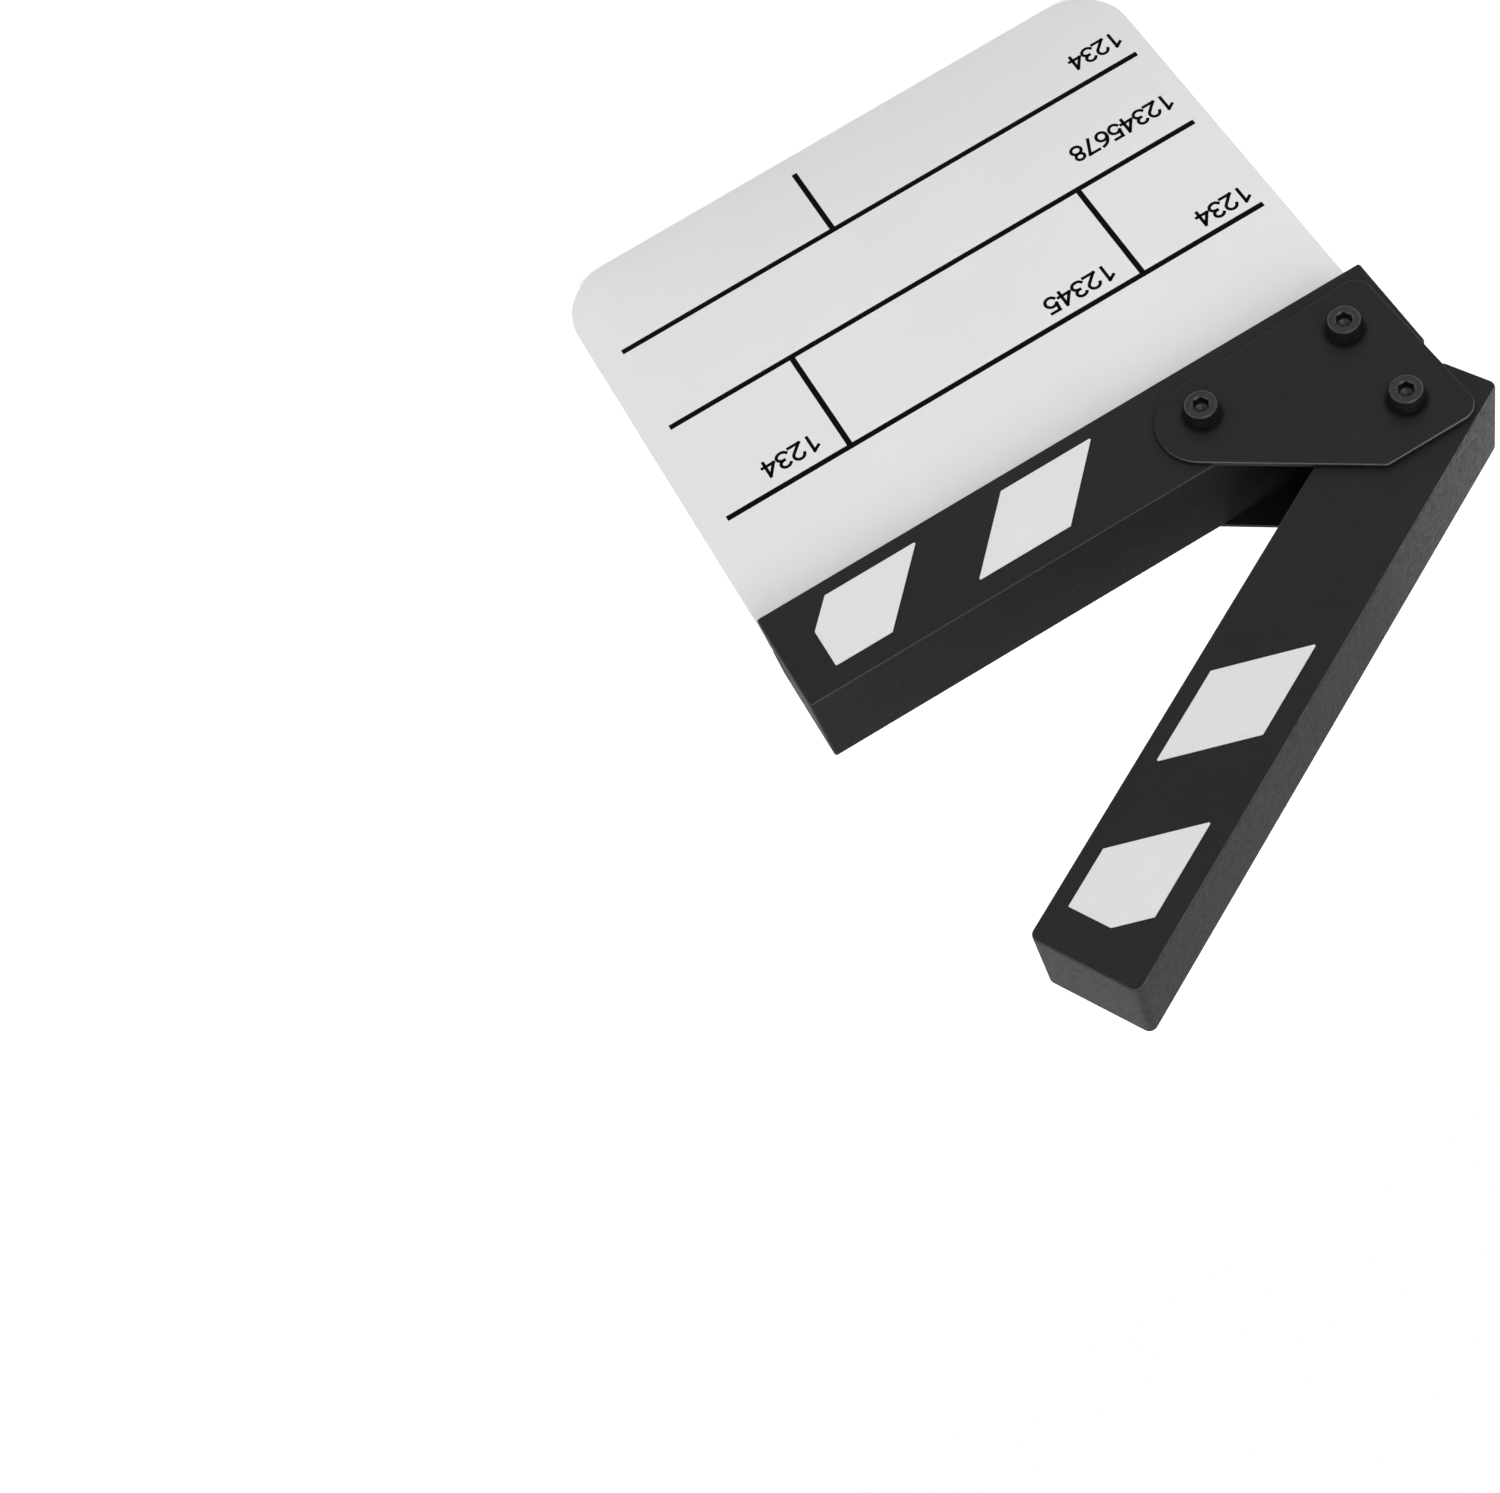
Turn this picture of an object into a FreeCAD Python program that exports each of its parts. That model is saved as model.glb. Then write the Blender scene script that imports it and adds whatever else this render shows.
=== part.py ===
import FreeCAD, Part
import math
import os

# Clapperboard: a writing board held in the slot of a fixed stick, with a clap stick hinged above it.
# X runs to the free end, the front faces -Y and Z is up.
# The origin is the middle of the board's bottom edge.

# Sticks
stick_length = 182.0
stick_height = 30.0
stick_thick = 30.0
stick_edge = 0.7
fixed_corner = 0.8
clap_corner = 2.2
closed_gap = 0.4
clap_overhang = 0.6
end_cut = 14.8
rest_open = 28.9

# Writing board
board_show = 136.3
board_thick = 4.0
board_tuck = 12.0
board_inset = 0.2
board_corner = 17.0
board_edge = 0.4
slot_clearance = 0.1

# Hinge: two plates, a spacer bush and two washers
plate_thick = 1.5
plate_edge = 0.5
plate_top_margin = 13.2
plate_top_inner = 14.4
plate_end_margin = 13.9
plate_foot_end_margin = 12.6
plate_foot_margin = 12.5
plate_foot_rise = 2.6
plate_point_reach = 36.7
plate_inner_round = 12.4
plate_end_round = 5.4
plate_foot_round = 4.7
plate_shoulder_round = 1.5
pivot_from_end = 14.2
pivot_rise = 12.3
bush_radius = 4.0
bush_running_clearance = 0.05
washer_radius = 7.0
washer_thick = 0.4
washer_play = 0.05

# Fixing screws
outer_from_end = 15.0
inner_from_end = 57.9
fixing_rise = 4.2

# Socket head screws and cap nuts
screw_radius = 2.5
screw_hole_clearance = 0.1
head_radius = 4.25
head_height = 5.0
head_edge = 0.6
socket_flats = 4.0
socket_depth = 2.5
socket_mouth_margin = 0.15
socket_mouth_depth = 0.55
socket_point_radius = 1.7
socket_point_angle = 118.0
nut_flats = 8.0
nut_height = 4.0
nut_turn = 6.0
nut_bevel_angle = 30.0
dome_radius = 3.1
dome_neck = 0.7
nut_engagement = 4.6
nut_bore_relief = 0.4
thread_clearance = 0.05

# White stickers, laid as slanting stripes.
# White and black stripes share out the run from the hinge plate to the free end in these proportions.
sticker_thick = 0.15
stripe_clear = 27.1
stripe_white = 27.1
stripe_black = 25.4
stripe_lean = 17.7
band_height = 19.4
gap_margin = 5.4
end_margin = 10.3
tip_cut = 7.1
sticker_round = 0.3
front_slide = -0.7
front_lift = -0.8
rear_slide = 0.7
rear_lift = 0.4

# Places worked out from the sizes above
hinge_x = -stick_length / 2
free_x = stick_length / 2
stick_face = stick_thick / 2
gap_face = board_show + stick_height
clap_foot = gap_face + closed_gap
clap_face = stick_face - washer_thick - washer_play
plate_face = stick_face + plate_thick
pivot_x = hinge_x + pivot_from_end
pivot_z = clap_foot + pivot_rise
outer_x = hinge_x + outer_from_end
inner_x = hinge_x + inner_from_end
fixing_z = board_show + board_tuck + fixing_rise
hole_radius = screw_radius + screw_hole_clearance

HEX_SIDES = 6
ALONG_Y = FreeCAD.Vector(0, 1, 0)
OPENING_AXIS = FreeCAD.Vector(0, -1, 0)
PIVOT = FreeCAD.Vector(pivot_x, 0, pivot_z)


def point(x, z, y=0.0):
    return FreeCAD.Vector(x, y, z)


def outline(corners):
    """Closed wire in the XZ plane from (x, z, corner radius) in order."""
    edges = []
    starts = []
    ends = []
    for index, (x, z, radius) in enumerate(corners):
        before = corners[index - 1]
        after = corners[(index + 1) % len(corners)]
        corner = point(x, z)
        back = (point(before[0], before[1]) - corner).normalize()
        ahead = (point(after[0], after[1]) - corner).normalize()
        half = back.getAngle(ahead) / 2
        reach = radius / math.tan(half)
        starts.append(corner + back * reach)
        ends.append(corner + ahead * reach)
        if radius > 0:
            middle = (back + ahead).normalize() * (radius / math.sin(half) - radius)
            edges.append(Part.Arc(starts[-1], corner + middle, ends[-1]).toShape())
        if index > 0:
            edges.append(Part.makeLine(ends[index - 1], starts[index]))
    edges.append(Part.makeLine(ends[-1], starts[0]))
    return Part.Wire(Part.__sortEdges__(edges))


def slab(corners, low_y, high_y):
    """Flat piece with the given outline, from low_y to high_y."""
    face = Part.Face(outline(corners))
    face.translate(ALONG_Y * low_y)
    return face.extrude(ALONG_Y * (high_y - low_y))


def rod(x, z, radius, low_y, high_y):
    return Part.makeCylinder(radius, high_y - low_y, point(x, z, low_y), ALONG_Y)


def edges_on_face(solid, y):
    """Edges that lie flat in the plane at the given y."""
    box_limit = 1e-6
    return [
        edge
        for edge in solid.Edges
        if abs(edge.BoundBox.YMin - y) < box_limit and abs(edge.BoundBox.YMax - y) < box_limit
    ]


def opened(solid):
    """A clap stick piece turned from closed to its resting angle."""
    turned = solid.copy()
    turned.rotate(PIVOT, OPENING_AXIS, rest_open)
    return turned


def slate_board():
    low_x = hinge_x + board_inset
    high_x = free_x - board_inset
    top_z = board_show + board_tuck
    corners = [
        (low_x, 0.0, board_corner),
        (high_x, 0.0, board_corner),
        (high_x, top_z, 0.0),
        (low_x, top_z, 0.0),
    ]
    half = board_thick / 2
    board = slab(corners, -half, half)
    rims = edges_on_face(board, -half) + edges_on_face(board, half)
    return board.makeFillet(board_edge, rims)


def soft_edged_bar(corners, face_y):
    """Bar with the given outline, from -face_y to face_y, eased round both faces."""
    bar = slab(corners, -face_y, face_y)
    return bar.makeFillet(stick_edge, edges_on_face(bar, -face_y) + edges_on_face(bar, face_y))


def fixed_stick():
    corners = [
        (hinge_x, board_show, fixed_corner),
        (free_x, board_show, fixed_corner),
        (free_x, gap_face, fixed_corner),
        (hinge_x, gap_face, fixed_corner),
    ]
    stick = soft_edged_bar(corners, stick_face)
    slot_width = board_thick + 2 * slot_clearance
    slot = Part.makeBox(stick_length, slot_width, board_tuck, point(hinge_x, board_show, -slot_width / 2))
    stick = stick.cut(slot)
    for x in (outer_x, inner_x):
        stick = stick.cut(rod(x, fixing_z, hole_radius, -stick_face, stick_face))
    return stick


def clap_stick():
    low_x = hinge_x - clap_overhang
    top_z = clap_foot + stick_height
    corners = [
        (low_x + end_cut, clap_foot, clap_corner),
        (free_x, clap_foot, clap_corner),
        (free_x, top_z, clap_corner),
        (low_x, top_z, clap_corner),
        (low_x, clap_foot + end_cut, clap_corner),
    ]
    stick = soft_edged_bar(corners, clap_face)
    bore = bush_radius + bush_running_clearance
    return opened(stick.cut(rod(pivot_x, pivot_z, bore, -clap_face, clap_face)))


def hinge_plate(side):
    """Plate on the front (side -1) or the rear (side 1) of both sticks."""
    top_z = pivot_z + plate_top_margin
    foot_z = fixing_z - plate_foot_margin
    corners = [
        (outer_x - plate_foot_end_margin, foot_z, plate_foot_round),
        (inner_x + plate_point_reach, foot_z + plate_foot_rise, plate_inner_round),
        (pivot_x + plate_top_inner, top_z, plate_shoulder_round),
        (pivot_x - plate_end_margin, top_z, plate_end_round),
    ]
    low_y = min(side * stick_face, side * plate_face)
    plate = slab(corners, low_y, low_y + plate_thick)
    plate = plate.makeFillet(plate_edge, edges_on_face(plate, side * plate_face))
    for x, z in ((outer_x, fixing_z), (inner_x, fixing_z), (pivot_x, pivot_z)):
        plate = plate.cut(rod(x, z, hole_radius, low_y, low_y + plate_thick))
    return plate


def hexagon(x, z, flats, low_y, high_y, turn=0.0):
    corner_radius = flats / math.sqrt(3)
    corners = []
    for step in range(HEX_SIDES):
        angle = math.radians(turn) + 2 * math.pi * step / HEX_SIDES
        corners.append((x + corner_radius * math.cos(angle), z + corner_radius * math.sin(angle), 0.0))
    return slab(corners, low_y, high_y)


def socket_screw(x, z):
    """Cap screw from its head in front of the front plate to its tip inside the cap nut."""
    head_top = -plate_face - head_height
    socket_floor = head_top + socket_depth
    head = rod(x, z, head_radius, head_top, -plate_face)
    head = head.makeFillet(head_edge, edges_on_face(head, head_top))
    head = head.cut(hexagon(x, z, socket_flats, head_top, socket_floor))
    mouth_radius = socket_flats / math.sqrt(3) + socket_mouth_margin
    mouth_foot_radius = mouth_radius - socket_mouth_depth
    mouth = Part.makeCone(mouth_radius, mouth_foot_radius, socket_mouth_depth, point(x, z, head_top), ALONG_Y)
    head = head.cut(mouth)
    point_depth = socket_point_radius / math.tan(math.radians(socket_point_angle / 2))
    head = head.cut(Part.makeCone(socket_point_radius, 0.0, point_depth, point(x, z, socket_floor), ALONG_Y))
    shank = rod(x, z, screw_radius, -plate_face, plate_face + nut_engagement)
    return head.fuse(shank).removeSplitter()


def cap_nut(x, z):
    """Hex nut with a bevelled top and a closed dome, on the rear plate."""
    top_y = plate_face + nut_height
    body = hexagon(x, z, nut_flats, plate_face, top_y, nut_turn)
    corner_radius = nut_flats / math.sqrt(3)
    flat_radius = nut_flats / 2
    cone_drop = (corner_radius - flat_radius) * math.tan(math.radians(nut_bevel_angle))
    bevel_base = rod(x, z, corner_radius, plate_face, top_y - cone_drop)
    bevel = Part.makeCone(corner_radius, flat_radius, cone_drop, point(x, z, top_y - cone_drop), ALONG_Y)
    body = body.common(bevel_base.fuse(bevel))
    neck = rod(x, z, dome_radius, plate_face, top_y + dome_neck)
    dome = Part.makeSphere(dome_radius, point(x, z, top_y + dome_neck))
    nut = body.fuse([neck, dome]).removeSplitter()
    bore_end = plate_face + nut_engagement + nut_bore_relief
    return nut.cut(rod(x, z, screw_radius + thread_clearance, plate_face, bore_end))


def pivot_bush():
    bush = rod(pivot_x, pivot_z, bush_radius, -stick_face, stick_face)
    return bush.cut(rod(pivot_x, pivot_z, hole_radius, -stick_face, stick_face))


def friction_washer(side):
    low_y = min(side * stick_face, side * (stick_face - washer_thick))
    high_y = low_y + washer_thick
    washer = rod(pivot_x, pivot_z, washer_radius, low_y, high_y)
    return washer.cut(rod(pivot_x, pivot_z, bush_radius + bush_running_clearance, low_y, high_y))


def stripe(gap_z, away, face_y, side, tip):
    """One slanting sticker; away is +1 or -1, the way it leans off the gap between the sticks."""
    slide = front_slide if side < 0 else rear_slide
    lift = front_lift if side < 0 else rear_lift
    end_x = free_x - end_margin + slide
    near_z = gap_z + away * gap_margin + lift
    far_z = near_z + away * band_height
    first_start = inner_x + stripe_clear + slide
    last_end = end_x - tip_cut
    stripe_width = (last_end - first_start) * stripe_white / (2 * stripe_white + stripe_black)
    far_start = last_end - stripe_width if tip else first_start
    far_end = far_start + stripe_width
    corners = [
        (far_start, far_z, sticker_round),
        (far_start + stripe_lean, near_z, sticker_round),
    ]
    if tip:
        cut_z = far_z - away * band_height * tip_cut / stripe_lean
        corners += [(end_x, near_z, sticker_round), (end_x, cut_z, sticker_round)]
    else:
        corners.append((far_end + stripe_lean, near_z, sticker_round))
    corners.append((far_end, far_z, sticker_round))
    low_y = min(side * face_y, side * (face_y + sticker_thick))
    return slab(corners, low_y, low_y + sticker_thick)


def stickers():
    """All stickers by name: two on each face of each stick."""
    pieces = {}
    for side, side_name in ((-1, "front"), (1, "rear")):
        for tip, place in ((True, "tip"), (False, "middle")):
            lower = stripe(gap_face, -1, stick_face, side, tip)
            upper = stripe(clap_foot, 1, clap_face, side, tip)
            pieces[f"fixed_{side_name}_{place}_sticker"] = lower
            pieces[f"clap_{side_name}_{place}_sticker"] = opened(upper)
    return pieces


parts = {
    "slate_board": slate_board(),
    "fixed_stick": fixed_stick(),
    "clap_stick": clap_stick(),
    "front_hinge_plate": hinge_plate(-1),
    "rear_hinge_plate": hinge_plate(1),
    "pivot_bush": pivot_bush(),
    "front_friction_washer": friction_washer(-1),
    "rear_friction_washer": friction_washer(1),
}
for place, x, z in (
    ("pivot", pivot_x, pivot_z),
    ("outer", outer_x, fixing_z),
    ("inner", inner_x, fixing_z),
):
    parts[f"{place}_screw"] = socket_screw(x, z)
    parts[f"{place}_cap_nut"] = cap_nut(x, z)
parts.update(stickers())

os.makedirs("parts", exist_ok=True)
for name, shape in parts.items():
    shape.exportStep(f"parts/{name}.step")
    box = shape.BoundBox
    print(
        name,
        "solids", len(shape.Solids),
        "valid", shape.isValid(),
        "volume", round(shape.Volume, 2),
        "box", [round(v, 2) for v in (box.XMin, box.YMin, box.ZMin, box.XMax, box.YMax, box.ZMax)],
    )
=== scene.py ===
import math

import bmesh
import bpy
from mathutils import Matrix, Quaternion, Vector


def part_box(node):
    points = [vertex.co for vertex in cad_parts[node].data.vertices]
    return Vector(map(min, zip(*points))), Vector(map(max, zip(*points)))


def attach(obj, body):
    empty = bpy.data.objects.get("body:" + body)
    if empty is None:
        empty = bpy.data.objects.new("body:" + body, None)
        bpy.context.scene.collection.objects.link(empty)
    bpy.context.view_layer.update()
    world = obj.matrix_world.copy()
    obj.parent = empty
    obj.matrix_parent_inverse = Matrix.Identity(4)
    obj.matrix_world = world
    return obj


# Looks of the clapperboard: finishes for every piece, the printing on the board, camera, light and floor.
# Units are metres. The front of the board faces -Y and Z is up.
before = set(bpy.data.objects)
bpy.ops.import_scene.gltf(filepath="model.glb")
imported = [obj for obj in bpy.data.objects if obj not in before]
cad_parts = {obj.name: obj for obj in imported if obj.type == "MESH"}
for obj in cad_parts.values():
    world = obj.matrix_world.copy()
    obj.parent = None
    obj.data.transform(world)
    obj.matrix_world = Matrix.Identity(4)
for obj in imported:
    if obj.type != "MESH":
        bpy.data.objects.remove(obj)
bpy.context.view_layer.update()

MM = 0.001

# Direction through the thickness of the board
THROUGH = (0.0, 1.0, 0.0)

# How far the clap stick stands open at rest, and the slope of its cut end
REST_OPEN = math.radians(28.9)
END_CUT_ANGLE = math.radians(45.0)

# Dust on the upward faces of the clap stick, with painted light from above: those faces are painted
# lighter, thicker near its hinge end
DUST_AND_LIGHT_HINGE_END = 5.0 * MM
DUST_AND_LIGHT_THIN_FROM = 75.0 * MM
DUST_AND_LIGHT_THICK = 0.055
DUST_AND_LIGHT_THIN = 0.015

# Grooves round the side of a screw head, and a painted contact shadow on the plates close round each head
KNURL_TEETH = 36
SHADOW_SOLID = 0.7 * MM
SHADOW_REACH = 1.9 * MM

# Printing on the front of the board, measured from its left and bottom edges
INK_THICK = 0.03 * MM
INK_RIM = 0.05 * MM
RULE_WIDTH = 1.68 * MM
RULE_LEFT = 4.8 * MM
RULE_RIGHT = 7.9 * MM
RULE_HEIGHTS = (96.6 * MM, 61.3 * MM, 30.7 * MM)
DIVIDER_PLACES = (42.9 * MM, 135.1 * MM)
TICK_PLACE = 105.0 * MM
TICK_FOOT = 6.4 * MM
NUMERAL_HEIGHT = 5.9 * MM
NUMERAL_WEIGHT = 0.95 * MM
NUMERALS = {
    "left_cell": ("1234", 13.9 * MM, 90.7 * MM, 16.6 * MM),
    "middle_cell": ("12345", 59.6 * MM, 90.3 * MM, 21.6 * MM),
    "right_cell": ("1234", 150.2 * MM, 89.5 * MM, 17.5 * MM),
    "second_row": ("12345678", 22.0 * MM, 50.7 * MM, 32.8 * MM),
    "third_row": ("1234", 13.8 * MM, 22.5 * MM, 16.6 * MM),
}

# Pen strokes of the numerals in a box NUMERAL_BOX wide and 1 high: points, or arcs as
# (middle x, middle z, half width, half height, first angle, last angle)
NUMERAL_BOX = 0.6
NUMERAL_PITCH = 0.76
ARC_STEPS = 20
NUMERAL_STROKES = {
    "1": [[(0.06, 0.8), (0.34, 1.0)], [(0.34, 1.0), (0.34, 0.0)]],
    "2": [[(0.3, 0.71, 0.27, 0.29, 165, -35), (0.03, 0.0)], [(0.03, 0.0), (0.6, 0.0)]],
    "3": [[(0.28, 0.76, 0.25, 0.24, 150, -90)], [(0.28, 0.26, 0.29, 0.26, 90, -155)]],
    "4": [[(0.44, 0.0), (0.44, 1.0)], [(0.42, 0.97), (0.0, 0.29)], [(0.0, 0.29), (0.6, 0.29)]],
    "5": [[(0.54, 1.0), (0.11, 1.0)], [(0.11, 1.0), (0.06, 0.53)], [(0.28, 0.32, 0.29, 0.32, 140, -150)]],
    "6": [[(0.3, 0.31, 0.28, 0.31, 180, -180)], [(0.58, 0.31, 0.56, 0.69, 165, 100)]],
    "7": [[(0.02, 1.0), (0.58, 1.0)], [(0.58, 1.0), (0.2, 0.0)]],
    "8": [[(0.3, 0.77, 0.23, 0.23, 90, -270)], [(0.3, 0.27, 0.28, 0.27, 90, -270)]],
}

# Camera, as the photograph was taken
CAMERA_PLACE = Vector((0.11196, -0.57905, 0.48405))
CAMERA_AIM = Vector((0.06672, 0.0, 0.16094))
CAMERA_ROLL = math.radians(147.034)
CAMERA_LENS = 62.317
CAMERA_SHIFT = (-0.0967, -0.0523)
CAMERA_SENSOR = 36.0

# Light
LIGHT_AIM = Vector((0.0, 0.0, 0.12))
SKY_TOP = 0.12
SKY_WHITE_BELOW = math.sin(math.radians(17.0))
SKY_DIM_ABOVE = math.sin(math.radians(24.0))
KEY_PLACE = Vector((-0.35, -1.35, 1.4))
KEY_SIZE = 1.6
KEY_POWER = 20.5
TOP_PLACE = Vector((0.3, 0.3, 1.9))
TOP_SIZE = 1.4
TOP_POWER = 20.0
BACK_PLACE = Vector((1.1, 1.1, 0.75))
BACK_SIZE = 0.8
BACK_POWER = 3.5
FLOOR_SIZE = 2.6
FLOOR_SHADE = 0.8
FLOOR_NEAR_GLOW = 0.42
FLOOR_FAR_GLOW = 0.75
FLOOR_NEAR = 0.3
FLOOR_FAR = 1.1


def add_node(tree, kind, settings=None, inputs=None):
    """New shader node; an input is a plain value or another node's output."""
    node = tree.nodes.new("ShaderNode" + kind)
    for name, value in (settings or {}).items():
        setattr(node, name, value)
    for socket, value in (inputs or {}).items():
        if isinstance(value, bpy.types.NodeSocket):
            tree.links.new(value, node.inputs[socket])
        else:
            node.inputs[socket].default_value = value
    return node


def new_material(name):
    """Empty node material, with its tree and its main shader."""
    material = bpy.data.materials.new(name)
    material.use_nodes = True
    tree = material.node_tree
    tree.nodes.clear()
    shader = add_node(tree, "BsdfPrincipled")
    add_node(tree, "OutputMaterial", inputs={"Surface": shader.outputs["BSDF"]})
    return material, tree, shader


def set_inputs(shader, values):
    """Sets plain values on a shader's own sockets."""
    for socket, value in values.items():
        shader.inputs[socket].default_value = value


def grey(level):
    """Opaque grey of one level."""
    return (level, level, level, 1.0)


def object_place(tree, turn=0.0, stretch=(1.0, 1.0, 1.0)):
    """Coordinates fixed to the piece, turned about Y and stretched."""
    place = add_node(tree, "TexCoord").outputs["Object"]
    inputs = {"Vector": place, "Rotation": (0.0, turn, 0.0), "Scale": stretch}
    return add_node(tree, "Mapping", inputs=inputs).outputs["Vector"]


def noise(tree, place, per_metre, detail=3.0, roughness=0.55):
    """Cloudy number about 0.5, with so many clouds to the metre."""
    inputs = {"Vector": place, "Scale": per_metre, "Detail": detail, "Roughness": roughness}
    return add_node(tree, "TexNoise", inputs=inputs).outputs["Fac"]


def between(tree, fac, low, high, start=0.3, end=0.7):
    """Number that runs from low to high as fac goes from start to end."""
    inputs = {"Value": fac, "From Min": start, "From Max": end, "To Min": low, "To Max": high}
    return add_node(tree, "MapRange", inputs=inputs).outputs["Result"]


def blend_colour(tree, fac, first, second):
    """Colour that runs from first to second as fac goes from 0 to 1."""
    node = add_node(tree, "Mix", {"data_type": "RGBA"})
    for socket, value in ((node.inputs[0], fac), (node.inputs[6], first), (node.inputs[7], second)):
        if isinstance(value, bpy.types.NodeSocket):
            tree.links.new(value, socket)
        else:
            socket.default_value = value
    return node.outputs[2]


def math_node(tree, operation, first, second=0.0):
    """Result of one arithmetic step on one or two numbers."""
    node = add_node(tree, "Math", {"operation": operation}, {0: first, 1: second})
    return node.outputs["Value"]


def specks(tree, place, per_metre, radius, share):
    """Mask of sparse round specks; share is the part of the cells that hold one."""
    cells = add_node(tree, "TexVoronoi", inputs={"Vector": place, "Scale": per_metre})
    near = math_node(tree, "LESS_THAN", cells.outputs["Distance"], radius * per_metre)
    pick = add_node(tree, "SeparateColor", inputs={"Color": cells.outputs["Color"]})
    chosen = math_node(tree, "LESS_THAN", pick.outputs["Red"], share)
    return math_node(tree, "MULTIPLY", near, chosen)


def bump(tree, height, distance, strength, under=None):
    """Surface direction roughened by a height, over an earlier bump if there is one."""
    inputs = {"Height": height, "Distance": distance, "Strength": strength}
    if under is not None:
        inputs["Normal"] = under
    return add_node(tree, "Bump", inputs=inputs).outputs["Normal"]


def facing(tree, direction):
    """1 where a face looks along a direction, either way, and 0 where it looks across it."""
    normal = add_node(tree, "TexCoord").outputs["Normal"]
    dot = add_node(tree, "VectorMath", {"operation": "DOT_PRODUCT"}, {0: normal, 1: direction})
    return math_node(tree, "ABSOLUTE", dot.outputs["Value"])


def upward(tree):
    """1 where a face looks straight up, 0 where it stands upright, and less than 0 where it looks down."""
    normal = add_node(tree, "TexCoord").outputs["Normal"]
    return add_node(tree, "SeparateXYZ", inputs={"Vector": normal}).outputs["Z"]


def edge_mask(tree, directions):
    """1 on rounded edges and 0 on flat faces that look along one of the directions."""
    flat = 0.0
    for direction in directions:
        flat = math_node(tree, "MAXIMUM", facing(tree, direction), flat)
    return between(tree, flat, 1.0, 0.0, start=0.75, end=0.97)


def rim_mask(tree):
    """1 on the edges round the front and back of a piece, and 0 on its front, back and sides."""
    outward = facing(tree, THROUGH)
    front_fade = between(tree, outward, 1.0, 0.0, start=0.8, end=0.96)
    side_fade = between(tree, outward, 0.0, 1.0, start=0.15, end=0.4)
    return math_node(tree, "MULTIPLY", front_fade, side_fade)


def stick_directions(turn):
    """Face directions of a stick turned about -Y, its cut end among them."""
    cut = turn + END_CUT_ANGLE
    return [
        THROUGH,
        (math.cos(turn), 0.0, math.sin(turn)),
        (-math.sin(turn), 0.0, math.cos(turn)),
        (math.cos(cut), 0.0, math.sin(cut)),
    ]


def upward_dust_and_light(tree, turn, edges):
    """Thin uneven dust on faces that look up, which also paints them lighter as if lit from above: thicker
    toward the hinge end and left off the ridges.
    """
    drift = noise(tree, object_place(tree), per_metre=520.0, detail=5.0, roughness=0.7)
    across = between(tree, facing(tree, THROUGH), 1.0, 0.0, start=0.1, end=0.4)
    ridge = math_node(tree, "MULTIPLY", edges, across)
    along = add_node(tree, "SeparateXYZ", inputs={"Vector": object_place(tree, turn)}).outputs["X"]
    # Painted light: more toward the hinge end, and only on faces that look up.
    cover = between(tree, along, DUST_AND_LIGHT_THICK, DUST_AND_LIGHT_THIN, DUST_AND_LIGHT_HINGE_END, DUST_AND_LIGHT_THIN_FROM)
    cover = math_node(tree, "MULTIPLY", cover, between(tree, upward(tree), 0.0, 1.0, start=0.3, end=0.45))
    cover = math_node(tree, "MULTIPLY", cover, between(tree, drift, 0.1, 1.9))
    return math_node(tree, "MULTIPLY", cover, between(tree, ridge, 1.0, 0.2, start=0.0, end=1.0))


def stick_paint(name, turn, dust_and_top_light):
    """Matt black paint over wood: faint grain, fine stipple, rubbed edges with a painted highlight, specks,
    and dust with painted light on faces that look up.
    """
    material, tree, shader = new_material(name)
    set_inputs(shader, {"Specular IOR Level": 0.125})
    along = object_place(tree, turn, (0.04, 1.0, 1.0))
    plain = object_place(tree)
    grain = noise(tree, along, per_metre=900.0, detail=4.0)
    stipple = noise(tree, plain, per_metre=1000.0, detail=3.0)
    cloud = noise(tree, plain, per_metre=40.0)
    edges = edge_mask(tree, stick_directions(turn))
    # Lighter rounded edges: wear, and a painted highlight where the edges catch the light.
    wear_and_highlight = math_node(tree, "MULTIPLY", edges, stipple)
    dust = specks(tree, plain, per_metre=160.0, radius=0.1 * MM, share=0.05)
    paint = blend_colour(tree, between(tree, cloud, 0.0, 1.0), grey(0.012), grey(0.015))
    paint = blend_colour(tree, wear_and_highlight, paint, grey(0.085))
    paint = blend_colour(tree, math_node(tree, "MULTIPLY", dust, 0.4), paint, grey(0.2))
    if dust_and_top_light:
        # Faces that look up painted lighter, as if lit from above, with dust on them.
        paint = blend_colour(tree, upward_dust_and_light(tree, turn, edges), paint, grey(1.0))
    tree.links.new(paint, shader.inputs["Base Color"])
    tree.links.new(between(tree, stipple, 0.52, 0.66), shader.inputs["Roughness"])
    relief = bump(tree, grain, distance=0.06 * MM, strength=0.35)
    relief = bump(tree, stipple, distance=0.05 * MM, strength=0.5, under=relief)
    tree.links.new(relief, shader.inputs["Normal"])
    return material


def screw_contact_shadow(tree):
    """1 close round the screw heads, where the painted shadow lies, fading to 0 a little way off."""
    flat = object_place(tree, stretch=(1.0, 0.0, 1.0))
    painted_shadow = 0.0
    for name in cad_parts:
        if not name.endswith("_screw"):
            continue
        low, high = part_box(name)
        axis = ((low.x + high.x) / 2, 0.0, (low.z + high.z) / 2)
        head = (high.x - low.x) / 2
        away = add_node(tree, "VectorMath", {"operation": "DISTANCE"}, {0: flat, 1: axis})
        near = between(tree, away.outputs["Value"], 1.0, 0.0, head + SHADOW_SOLID, head + SHADOW_REACH)
        painted_shadow = math_node(tree, "MAXIMUM", near, painted_shadow)
    return painted_shadow


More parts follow.
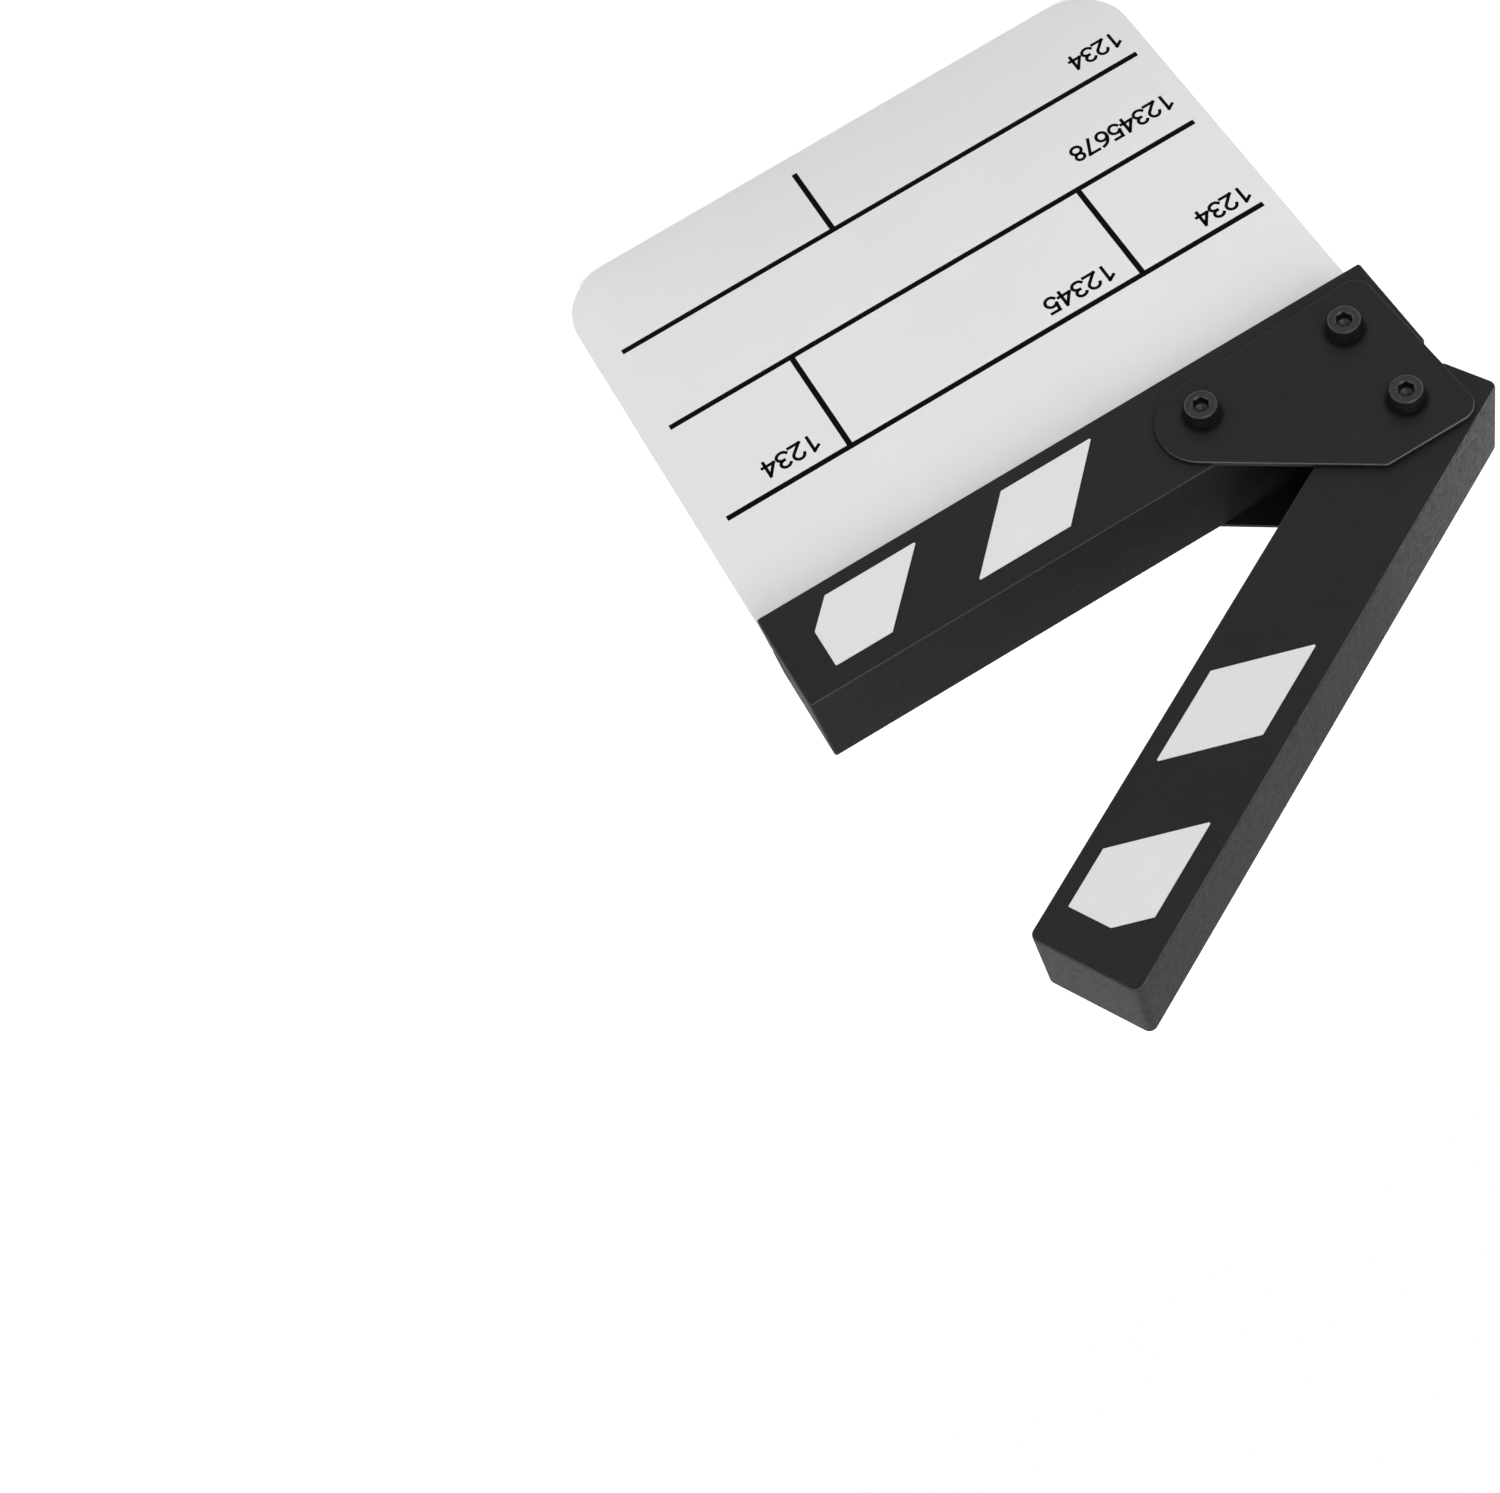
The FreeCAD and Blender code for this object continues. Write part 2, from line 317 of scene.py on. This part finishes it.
def plate_paint():
    """Satin black coat on pressed steel: fine even texture, rubbed rounded rim with a painted highlight on
    its upper edges, painted shadow round the screws.
    """
    material, tree, shader = new_material("plate_paint")
    set_inputs(shader, {"Specular IOR Level": 0.13})
    plain = object_place(tree)
    stipple = noise(tree, plain, per_metre=2200.0, detail=3.0)
    cloud = noise(tree, plain, per_metre=60.0)
    dust = specks(tree, plain, per_metre=210.0, radius=0.08 * MM, share=0.06)
    # Painted highlight: the rim is lighter where it looks up, toward the light, as well as worn.
    above = between(tree, upward(tree), 0.05, 1.0, start=0.0, end=0.75)
    rim = math_node(tree, "MULTIPLY", rim_mask(tree), above)
    wear_and_highlight = math_node(tree, "MULTIPLY", rim, between(tree, stipple, 0.6, 1.0))
    paint = blend_colour(tree, between(tree, cloud, 0.0, 1.0), grey(0.01), grey(0.013))
    paint = blend_colour(tree, math_node(tree, "MULTIPLY", dust, 0.35), paint, grey(0.2))
    paint = blend_colour(tree, wear_and_highlight, paint, grey(0.15))
    # Painted shadow: a dark, duller ring close round each screw head.
    painted_shadow = screw_contact_shadow(tree)
    paint = blend_colour(tree, painted_shadow, paint, grey(0.001))
    tree.links.new(paint, shader.inputs["Base Color"])
    dull = math_node(tree, "MULTIPLY", painted_shadow, 0.35)
    rough = math_node(tree, "ADD", between(tree, cloud, 0.36, 0.46), dull)
    tree.links.new(rough, shader.inputs["Roughness"])
    tree.links.new(bump(tree, stipple, distance=0.03 * MM, strength=0.35), shader.inputs["Normal"])
    return material


def board_acrylic():
    """White acrylic sheet: faint clouding, wiping marks in the gloss, a few specks."""
    material, tree, shader = new_material("board_acrylic")
    set_inputs(shader, {"Specular IOR Level": 0.4})
    plain = object_place(tree)
    wiped = object_place(tree, stretch=(0.12, 1.0, 1.0))
    cloud = noise(tree, plain, per_metre=18.0)
    streaks = noise(tree, wiped, per_metre=240.0, detail=4.0)
    marks = specks(tree, plain, per_metre=70.0, radius=0.16 * MM, share=0.035)
    sheet = blend_colour(tree, between(tree, cloud, 0.0, 1.0), grey(0.735), grey(0.76))
    sheet = blend_colour(tree, math_node(tree, "MULTIPLY", marks, 0.5), sheet, grey(0.1))
    tree.links.new(sheet, shader.inputs["Base Color"])
    tree.links.new(between(tree, streaks, 0.3, 0.44), shader.inputs["Roughness"])
    tree.links.new(bump(tree, streaks, distance=0.01 * MM, strength=0.15), shader.inputs["Normal"])
    return material


def sticker_vinyl(name, level):
    """White vinyl film with a cool tint, faint mottling and a soft orange peel."""
    material, tree, shader = new_material(name)
    set_inputs(shader, {"Specular IOR Level": 0.4})
    plain = object_place(tree)
    mottle = noise(tree, plain, per_metre=240.0, detail=3.0)
    peel = noise(tree, plain, per_metre=1500.0, detail=2.0)
    dull = (level - 0.02, level - 0.012, level, 1.0)
    clean = (level, level + 0.006, level + 0.012, 1.0)
    film = blend_colour(tree, between(tree, mottle, 0.0, 1.0), dull, clean)
    tree.links.new(film, shader.inputs["Base Color"])
    tree.links.new(between(tree, mottle, 0.36, 0.5), shader.inputs["Roughness"])
    tree.links.new(bump(tree, peel, distance=0.02 * MM, strength=0.3), shader.inputs["Normal"])
    return material


def knurl(tree):
    """Height of the straight knurling round the side of a screw head; 0 on faces square to the axis."""
    place = add_node(tree, "TexCoord").outputs["Generated"]
    stand = {"Vector": place, "Location": (-0.5, 0.5, 0.0), "Rotation": (math.radians(90.0), 0.0, 0.0)}
    upright = add_node(tree, "Mapping", inputs=stand).outputs["Vector"]
    turns = add_node(tree, "TexGradient", {"gradient_type": "RADIAL"}, {"Vector": upright}).outputs["Fac"]
    teeth = math_node(tree, "SINE", math_node(tree, "MULTIPLY", turns, 2 * math.pi * KNURL_TEETH))
    side = between(tree, facing(tree, THROUGH), 1.0, 0.0, start=0.1, end=0.3)
    return math_node(tree, "MULTIPLY", teeth, side)


def screw_black():
    """Black oxide coat on steel, slightly warm, with a fine texture, a rubbed rim with a painted highlight,
    and a knurled side.
    """
    material, tree, shader = new_material("screw_black")
    set_inputs(shader, {"Specular IOR Level": 0.27})
    plain = object_place(tree)
    grit = noise(tree, plain, per_metre=2400.0, detail=3.0)
    cloud = noise(tree, plain, per_metre=500.0)
    light, dark = (0.0165, 0.016, 0.016, 1.0), (0.0108, 0.0105, 0.0105, 1.0)
    oxide = blend_colour(tree, between(tree, cloud, 0.0, 1.0), dark, light)
    # Lighter rim: wear, and a painted highlight on the chamfer.
    wear_and_highlight = math_node(tree, "MULTIPLY", rim_mask(tree), between(tree, grit, 0.4, 1.0))
    oxide = blend_colour(tree, wear_and_highlight, oxide, grey(0.065))
    tree.links.new(oxide, shader.inputs["Base Color"])
    tree.links.new(between(tree, grit, 0.26, 0.38), shader.inputs["Roughness"])
    relief = bump(tree, knurl(tree), distance=0.1 * MM, strength=0.8)
    relief = bump(tree, grit, distance=0.02 * MM, strength=0.4, under=relief)
    tree.links.new(relief, shader.inputs["Normal"])
    return material


def bright_metal(name, colour, least_rough, most_rough):
    """Polished plating with fine handling marks."""
    material, tree, shader = new_material(name)
    set_inputs(shader, {"Metallic": 1.0, "Base Color": colour})
    plain = object_place(tree)
    marks = noise(tree, plain, per_metre=1400.0, detail=4.0)
    tree.links.new(between(tree, marks, least_rough, most_rough), shader.inputs["Roughness"])
    tree.links.new(bump(tree, marks, distance=0.005 * MM, strength=0.3), shader.inputs["Normal"])
    return material


def washer_nylon():
    """Off-white nylon with a soft milky cloud."""
    material, tree, shader = new_material("washer_nylon")
    set_inputs(shader, {"Roughness": 0.45})
    cloud = noise(tree, object_place(tree), per_metre=700.0)
    light, dark = (0.64, 0.62, 0.57, 1.0), (0.55, 0.53, 0.48, 1.0)
    nylon = blend_colour(tree, between(tree, cloud, 0.0, 1.0), dark, light)
    tree.links.new(nylon, shader.inputs["Base Color"])
    return material


def printing_ink():
    """Black screen ink, slightly uneven in cover."""
    material, tree, shader = new_material("printing_ink")
    set_inputs(shader, {"Specular IOR Level": 0.03})
    cover = noise(tree, object_place(tree), per_metre=1800.0, detail=3.0)
    ink = blend_colour(tree, between(tree, cover, 0.0, 1.0), grey(0.001), grey(0.003))
    tree.links.new(ink, shader.inputs["Base Color"])
    tree.links.new(between(tree, cover, 0.45, 0.6), shader.inputs["Roughness"])
    return material


def dress_nodes():
    """Gives every CAD node its finish."""
    fixed_paint = stick_paint("stick_paint_fixed", 0.0, dust_and_top_light=False)
    clap_paint = stick_paint("stick_paint_clap", REST_OPEN, dust_and_top_light=True)
    brass = (0.66, 0.46, 0.2, 1.0)
    by_ending = {
        "slate_board": board_acrylic(),
        "fixed_stick": fixed_paint,
        "clap_stick": clap_paint,
        "hinge_plate": plate_paint(),
        "_screw": screw_black(),
        "cap_nut": bright_metal("nut_chrome", grey(0.82), least_rough=0.08, most_rough=0.16),
        "pivot_bush": bright_metal("bush_brass", brass, least_rough=0.22, most_rough=0.34),
        "friction_washer": washer_nylon(),
    }
    # The clap stick's stickers are set a little darker than the fixed stick's.
    fixed_film = sticker_vinyl("sticker_vinyl_fixed", 0.7)
    clap_film = sticker_vinyl("sticker_vinyl_clap", 0.66)
    for name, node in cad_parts.items():
        if name.endswith("_sticker"):
            finish = fixed_film if name.startswith("fixed") else clap_film
        else:
            finish = next(material for ending, material in by_ending.items() if name.endswith(ending))
        for slot in node.material_slots:
            slot.material = finish


def ink_strip(sheet, low, high, face_y):
    """Thin bar of ink between two (x, z) corners, with its rim sloped down to the board."""
    rings = []
    for inset, y in ((0.0, face_y), (INK_RIM, face_y - INK_THICK)):
        x0, z0 = low[0] + inset, low[1] + inset
        x1, z1 = high[0] - inset, high[1] - inset
        rings.append([sheet.verts.new((x, y, z)) for x, z in ((x0, z0), (x1, z0), (x1, z1), (x0, z1))])
    base, top = rings
    sheet.faces.new(base[::-1])
    sheet.faces.new(top)
    for index in range(len(base)):
        after = (index + 1) % len(base)
        sheet.faces.new((base[index], base[after], top[after], top[index]))


def mesh_piece(name, sheet, material, body):
    """Scene object from a bmesh, riding on a body."""
    bmesh.ops.recalc_face_normals(sheet, faces=sheet.faces)
    mesh = bpy.data.meshes.new(name)
    sheet.to_mesh(mesh)
    sheet.free()
    mesh.materials.append(material)
    piece = bpy.data.objects.new(name, mesh)
    bpy.context.scene.collection.objects.link(piece)
    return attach(piece, body)


def board_rules(ink):
    """Ruled lines that split the board into rows and cells."""
    low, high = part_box("slate_board")
    left = low.x + RULE_LEFT
    right = high.x - RULE_RIGHT
    half = RULE_WIDTH / 2
    upper, lower, foot = (low.z + height for height in RULE_HEIGHTS)
    sheet = bmesh.new()
    for z in (upper, lower, foot):
        ink_strip(sheet, (left, z - half), (right, z + half), low.y)
    for place in DIVIDER_PLACES:
        x = low.x + place
        ink_strip(sheet, (x - half, lower + half), (x + half, upper - half), low.y)
    tick = low.x + TICK_PLACE
    ink_strip(sheet, (tick - half, low.z + TICK_FOOT), (tick + half, foot - half), low.y)
    return mesh_piece("board_rules", sheet, ink, "slate")


def stroke_points(stroke):
    """Points of one pen stroke, with its arcs opened out."""
    points = []
    for step in stroke:
        if len(step) == 2:
            points.append(step)
            continue
        x, z, half_wide, half_tall, first, last = step
        for index in range(ARC_STEPS + 1):
            angle = math.radians(first + (last - first) * index / ARC_STEPS)
            points.append((x + half_wide * math.cos(angle), z + half_tall * math.sin(angle)))
    return points


def pen_stroke(sheet, points, face_y):
    """Flat bar of ink with square ends along (x, z) points, closed on itself where they come back round."""
    half = NUMERAL_WEIGHT / 2
    path = [Vector(point) for point in points]
    looped = (path[0] - path[-1]).length < INK_THICK
    if looped:
        path.pop()
    else:
        path[0] += (path[0] - path[1]).normalized() * half
        path[-1] += (path[-1] - path[-2]).normalized() * half
    count = len(path)
    rings = []
    for index, point in enumerate(path):
        ahead = path[(index + 1) % count if looped else min(index + 1, count - 1)]
        behind = path[index - 1 if looped else max(index - 1, 0)]
        along = (ahead - behind).normalized()
        across = Vector((-along.y, along.x))
        ring = []
        for reach, y in ((half, face_y), (half - INK_RIM, face_y - INK_THICK)):
            for side in (reach, -reach):
                x, z = point + across * side
                ring.append(sheet.verts.new((x, y, z)))
        low_left, low_right, high_left, high_right = ring
        rings.append((low_left, low_right, high_right, high_left))
    for index in range(count if looped else count - 1):
        ring, after = rings[index], rings[(index + 1) % count]
        for corner in range(4):
            beside = (corner + 1) % 4
            sheet.faces.new((ring[corner], ring[beside], after[beside], after[corner]))
    if not looped:
        sheet.faces.new(rings[0][::-1])
        sheet.faces.new(rings[-1])


def board_numerals(ink):
    """Plain numbers counting up, one run in each cell and row."""
    low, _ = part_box("slate_board")
    tall = NUMERAL_HEIGHT - NUMERAL_WEIGHT
    for place, (text, x, z, width) in NUMERALS.items():
        run = NUMERAL_PITCH * (len(text) - 1) + NUMERAL_BOX
        wide = (width - NUMERAL_WEIGHT) / run
        left = low.x + x - (width - NUMERAL_WEIGHT) / 2
        foot = low.z + z - tall / 2
        sheet = bmesh.new()
        for index, digit in enumerate(text):
            start = left + NUMERAL_PITCH * index * wide
            for stroke in NUMERAL_STROKES[digit]:
                points = [(start + px * wide, foot + pz * tall) for px, pz in stroke_points(stroke)]
                pen_stroke(sheet, points, low.y)
        mesh_piece("numerals_" + place, sheet, ink, "slate")


def add_camera():
    """Camera at the photograph's viewing angle and framing."""
    camera = bpy.data.cameras.new("camera")
    camera.lens = CAMERA_LENS
    camera.sensor_width = CAMERA_SENSOR
    camera.shift_x, camera.shift_y = CAMERA_SHIFT
    holder = bpy.data.objects.new("camera", camera)
    holder.location = CAMERA_PLACE
    holder.rotation_mode = "QUATERNION"
    level = (CAMERA_AIM - CAMERA_PLACE).to_track_quat("-Z", "Y")
    holder.rotation_quaternion = level @ Quaternion((0.0, 0.0, 1.0), CAMERA_ROLL)
    bpy.context.scene.collection.objects.link(holder)
    bpy.context.scene.camera = holder


def add_softbox(name, place, size, power):
    """Square soft lamp turned to the board."""
    light = bpy.data.lights.new(name, "AREA")
    light.size = size
    light.energy = power
    holder = bpy.data.objects.new(name, light)
    holder.location = place
    holder.rotation_mode = "QUATERNION"
    holder.rotation_quaternion = (LIGHT_AIM - place).to_track_quat("-Z", "Y")
    bpy.context.scene.collection.objects.link(holder)


def background_rays(tree):
    """1 for rays that should see the plain white ground: seen straight, mirrored or through glass."""
    rays = add_node(tree, "LightPath").outputs
    seen = math_node(tree, "MAXIMUM", rays["Is Camera Ray"], rays["Is Glossy Ray"])
    return math_node(tree, "MAXIMUM", seen, rays["Is Transmission Ray"])


def add_world():
    """Studio that is white up to a little above the horizon and dim overhead, where the softboxes hang."""
    world = bpy.data.worlds.new("studio")
    bpy.context.scene.world = world
    world.use_nodes = True
    tree = world.node_tree
    tree.nodes.clear()
    toward = add_node(tree, "TexCoord").outputs["Generated"]
    height = add_node(tree, "SeparateXYZ", inputs={"Vector": toward}).outputs["Z"]
    level = between(tree, height, 1.0, SKY_TOP, SKY_WHITE_BELOW, SKY_DIM_ABOVE)
    sky = add_node(tree, "Background", inputs={"Color": grey(1.0), "Strength": level})
    add_node(tree, "OutputWorld", inputs={"Surface": sky.outputs["Background"]})


def add_floor():
    """Pale floor that keeps the shadow and looks white to the camera."""
    material = bpy.data.materials.new("floor")
    material.use_nodes = True
    tree = material.node_tree
    tree.nodes.clear()
    ground = add_node(tree, "BsdfDiffuse", inputs={"Color": grey(FLOOR_SHADE)})
    place = add_node(tree, "TexCoord").outputs["Object"]
    away = add_node(tree, "VectorMath", {"operation": "LENGTH"}, {0: place}).outputs["Value"]
    glow = between(tree, away, FLOOR_NEAR_GLOW, FLOOR_FAR_GLOW, FLOOR_NEAR, FLOOR_FAR)
    glow = math_node(tree, "MULTIPLY", background_rays(tree), glow)
    shine = add_node(tree, "Emission", inputs={"Color": grey(1.0), "Strength": glow})
    both = add_node(tree, "AddShader", inputs={0: ground.outputs[0], 1: shine.outputs[0]})
    add_node(tree, "OutputMaterial", inputs={"Surface": both.outputs[0]})
    sheet = bmesh.new()
    bmesh.ops.create_grid(sheet, x_segments=1, y_segments=1, size=FLOOR_SIZE / 2)
    mesh = bpy.data.meshes.new("floor")
    sheet.to_mesh(mesh)
    sheet.free()
    mesh.materials.append(material)
    floor = bpy.data.objects.new("floor", mesh)
    bpy.context.scene.collection.objects.link(floor)


dress_nodes()
ink = printing_ink()
board_rules(ink)
board_numerals(ink)
add_camera()
add_softbox("key", KEY_PLACE, KEY_SIZE, KEY_POWER)
add_softbox("top", TOP_PLACE, TOP_SIZE, TOP_POWER)
add_softbox("back", BACK_PLACE, BACK_SIZE, BACK_POWER)
add_world()
add_floor()
bpy.context.scene.view_settings.view_transform = "Standard"
